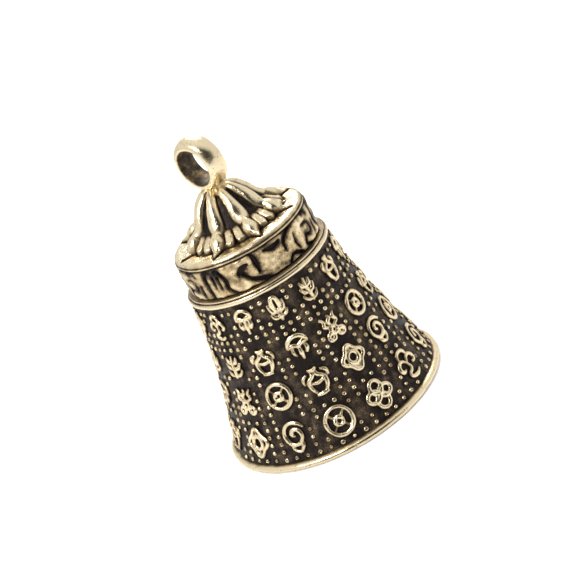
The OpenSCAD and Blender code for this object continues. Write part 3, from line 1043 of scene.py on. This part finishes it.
class BELL_OT_ring(bpy.types.Operator):
    """Form the hanging ring and the solder round its foot"""

    bl_idname = "bell.ring"
    bl_label = "Hanging ring"

    def execute(self, context):
        sizes, finish = settings()
        half = RING_HIGH.x
        outer = RING_HIGH.z - RING_Z
        edge = RING_BORE + 0.3
        outline = [(RING_BORE, -half + 0.08), (RING_BORE + 0.08, -half)]
        outline += [
            (edge + (outer - edge) * math.cos(a) ** 0.9, half * math.sin(a))
            for a in (math.radians(lerp(-84, 84, i / 14)) for i in range(15))
        ]
        outline += [(RING_BORE + 0.08, half), (RING_BORE, half - 0.08)]
        bm = turned(outline, 96)
        stand = Matrix.Translation((0, 0, RING_Z)) @ Matrix.Rotation(math.radians(90), 4, "Y")
        bmesh.ops.transform(bm, matrix=stand, verts=bm.verts)
        rng = random.Random(sizes.seed + 5)
        foot = RING_LOW.z + 1.65
        for side_x in (-0.75, 0.1, 0.85):
            for side_y in (-1.25, 0, 1.2):
                size = rng.uniform(0.6, 0.82)
                blob = bmesh.ops.create_icosphere(bm, subdivisions=2, radius=size)["verts"]
                place = (side_x, side_y, foot - 0.25 + rng.uniform(-0.2, 0.1))
                bmesh.ops.translate(bm, vec=place, verts=blob)
        mesh = bpy.data.meshes.new("ring_solid")
        bm.to_mesh(mesh)
        bm.free()
        fused = bmesh.new()
        fused.from_mesh(remeshed(mesh, 0.11))
        for _ in range(2):
            soften(fused)
        from_axis = lambda p: Vector((0, p.y, p.z - RING_Z)).length
        for v in fused.verts:
            if from_axis(v.co) < RING_BORE:
                out = Vector((0, v.co.y, v.co.z - RING_Z)).normalized() * RING_BORE
                v.co = Vector((v.co.x, out.y, out.z + RING_Z))
        roughen(fused, 0.07, 1.3, sizes.seed + 3, lambda p: from_axis(p) < RING_BORE + 0.05)
        mark_relief(fused, lambda p: self.wear(p, from_axis(p)))
        brass = aged_brass("ring_brass", finish, rub=0.02, grain_depth=0.045, dirt=0.5)
        make_piece(fused, "ring_loop", brass, ["hanging_ring"], sharp=80)
        return {"FINISHED"}

    def wear(self, point, radius):
        """Rubbed outside, dark in the rough bore and round the solder at the foot."""
        outside = smooth(radius, RING_BORE + 0.02, RING_BORE + 0.25)
        foot = 1 - 0.4 * (1 - smooth(point.z, *SOLDER_TOP))
        return lerp(0.27, 1.0, outside) * foot


class BELL_OT_clapper(bpy.types.Operator):
    """Give the hanger and clapper their dull brass"""

    bl_idname = "bell.clapper"
    bl_label = "Hanger and clapper"

    def execute(self, context):
        _, finish = settings()
        paint = Paint("clapper_brass")
        place = paint.place()
        grain = paint.cloud(place, 4.0, 3.0)
        blotch = paint.cloud(place, 0.8)
        film = paint.step(grain * 0.5 + blotch * 0.7, 0.4, 0.75)
        brass = paint.finish(
            Base_Color=paint.blend(film, (0.10, 0.07, 0.04), tuple(finish.worn)),
            Metallic=1.0,
            Roughness=0.5 - film * 0.15,
            Normal=paint.bump(grain, 0.02),
        )
        for node, thing in frame["nodes"].items():
            if body_of(thing)[0] in ("hanger", "clapper"):
                thing.data.materials.clear()
                thing.data.materials.append(brass)
        return {"FINISHED"}


# ---- stage ----


class BELL_OT_stage(bpy.types.Operator):
    """Set the pale floor, the soft lights and the camera"""

    bl_idname = "bell.stage"
    bl_label = "Floor, light and camera"

    def execute(self, context):
        stage = context.scene.bell_stage
        self.floor()
        self.sky(context, stage)
        self.lights(stage)
        self.camera(context, stage)
        context.scene.view_settings.view_transform = "Standard"
        return {"FINISHED"}

    def floor(self):
        bm = bmesh.new()
        bmesh.ops.create_grid(bm, x_segments=1, y_segments=1, size=6)
        mesh = bpy.data.meshes.new("floor")
        bm.to_mesh(mesh)
        bm.free()
        floor = bpy.data.objects.new("floor", mesh)
        bpy.context.scene.collection.objects.link(floor)
        paint = Paint("pale_floor")
        seen = paint.node("ShaderNodeLightPath", {}, {}, "Is Camera Ray")
        white = paint.finish(
            Base_Color=(0.9, 0.9, 0.9, 1),
            Roughness=0.9,
            Emission_Color=(1, 1, 1, 1),
            Emission_Strength=seen * 0.4,
        )
        mesh.materials.append(white)

    def sky(self, context, stage):
        """A white tent, open and dark on the camera's side. The camera sees it as plain white."""
        world = bpy.data.worlds.new("light_tent")
        world.use_nodes = True
        nodes, links = world.node_tree.nodes, world.node_tree.links
        turn = math.radians(stage.azimuth)
        towards = nodes.new("ShaderNodeVectorMath")
        towards.operation = "DOT_PRODUCT"
        towards.inputs[1].default_value = (math.sin(turn) * 0.94, -math.cos(turn) * 0.94, 0.34)
        links.new(nodes.new("ShaderNodeTexCoord").outputs["Generated"], towards.inputs[0])
        fade = nodes.new("ShaderNodeMapRange")
        fade.interpolation_type = "SMOOTHSTEP"
        levels = {"From Min": 0.5, "From Max": 0.86, "To Min": stage.tent, "To Max": stage.dark}
        for name, value in levels.items():
            fade.inputs[name].default_value = value
        links.new(towards.outputs["Value"], fade.inputs["Value"])
        back = nodes["Background"]
        links.new(fade.outputs[0], back.inputs["Strength"])
        white = nodes.new("ShaderNodeBackground")
        white.inputs["Strength"].default_value = 1.0
        choice = nodes.new("ShaderNodeMixShader")
        links.new(nodes.new("ShaderNodeLightPath").outputs["Is Camera Ray"], choice.inputs[0])
        links.new(back.outputs[0], choice.inputs[1])
        links.new(white.outputs[0], choice.inputs[2])
        links.new(choice.outputs[0], nodes["World Output"].inputs["Surface"])
        for shade in (back, white):
            shade.inputs["Color"].default_value = (1, 1, 1, 1)
        context.scene.world = world

    def lights(self, stage):
        """Two soft panels. Their places and sizes are in metres."""
        self.panel("key", (-0.25, -0.04, 0.3), 0.15, stage.key)
        self.panel("rim", (0.2, 0.16, 0.24), 0.12, stage.key * 0.5)

    def panel(self, name, place, size, power):
        data = bpy.data.lights.new(name, "AREA")
        data.size = size
        data.energy = power
        light = bpy.data.objects.new(name, data)
        light.location = place
        aim = Vector((0, 0, 0.02)) - Vector(place)
        light.rotation_euler = aim.to_track_quat("-Z", "Y").to_euler()
        bpy.context.scene.collection.objects.link(light)

    def camera(self, context, stage):
        data = bpy.data.cameras.new("camera")
        data.lens = stage.lens
        data.sensor_width = 36
        data.clip_start, data.clip_end = 0.01, 10
        turn, lift, roll = (math.radians(a) for a in (stage.azimuth, stage.elevation, stage.roll))
        right = Vector((math.cos(turn), math.sin(turn), 0))
        ahead = Vector((-math.sin(turn) * math.cos(lift), math.cos(turn) * math.cos(lift), -math.sin(lift)))
        up = right.cross(ahead)
        side = right * math.cos(roll) + up * math.sin(roll)
        over = up * math.cos(roll) - right * math.sin(roll)
        middle, shift_side, shift_over = Vector((0, 0, 15)), 0.68, 2.35
        aim = middle + side * shift_side + over * shift_over
        place = (aim - ahead * stage.distance) * MM
        turned_to = Matrix((side, over, -ahead)).transposed().to_4x4()
        camera = bpy.data.objects.new("camera", data)
        camera.matrix_world = Matrix.Translation(place) @ turned_to
        context.scene.collection.objects.link(camera)
        context.scene.camera = camera


class BELL_PT_panel(bpy.types.Panel):
    """Steps that build the bell"""

    bl_idname = "BELL_PT_panel"
    bl_label = "Temple Bell"
    bl_space_type = "VIEW_3D"
    bl_region_type = "UI"
    bl_category = "Temple Bell"

    def draw(self, context):
        for group in (context.scene.bell_sizes, context.scene.bell_finish, context.scene.bell_stage):
            for name in group.bl_rna.properties.keys():
                if name not in ("rna_type", "name"):
                    self.layout.prop(group, name)
        for step in STEPS:
            self.layout.operator(step.bl_idname)


STEPS = (
    BELL_OT_skirt,
    BELL_OT_rims,
    BELL_OT_emblems,
    BELL_OT_studs,
    BELL_OT_frieze,
    BELL_OT_crown,
    BELL_OT_lotus,
    BELL_OT_ring,
    BELL_OT_clapper,
    BELL_OT_stage,
)
GROUPS = {"bell_sizes": BellSizes, "bell_finish": BellFinish, "bell_stage": BellStage}


def register():
    for group in (*GROUPS.values(), *STEPS, BELL_PT_panel):
        bpy.utils.register_class(group)
    for name, group in GROUPS.items():
        setattr(bpy.types.Scene, name, PointerProperty(type=group))


def unregister():
    for name in GROUPS:
        delattr(bpy.types.Scene, name)
    for group in (BELL_PT_panel, *STEPS[::-1], *GROUPS.values()):
        bpy.utils.unregister_class(group)


def main():
    register()
    for step in STEPS:
        category, name = step.bl_idname.split(".")
        getattr(getattr(bpy.ops, category), name)()


if __name__ == "__main__":
    main()
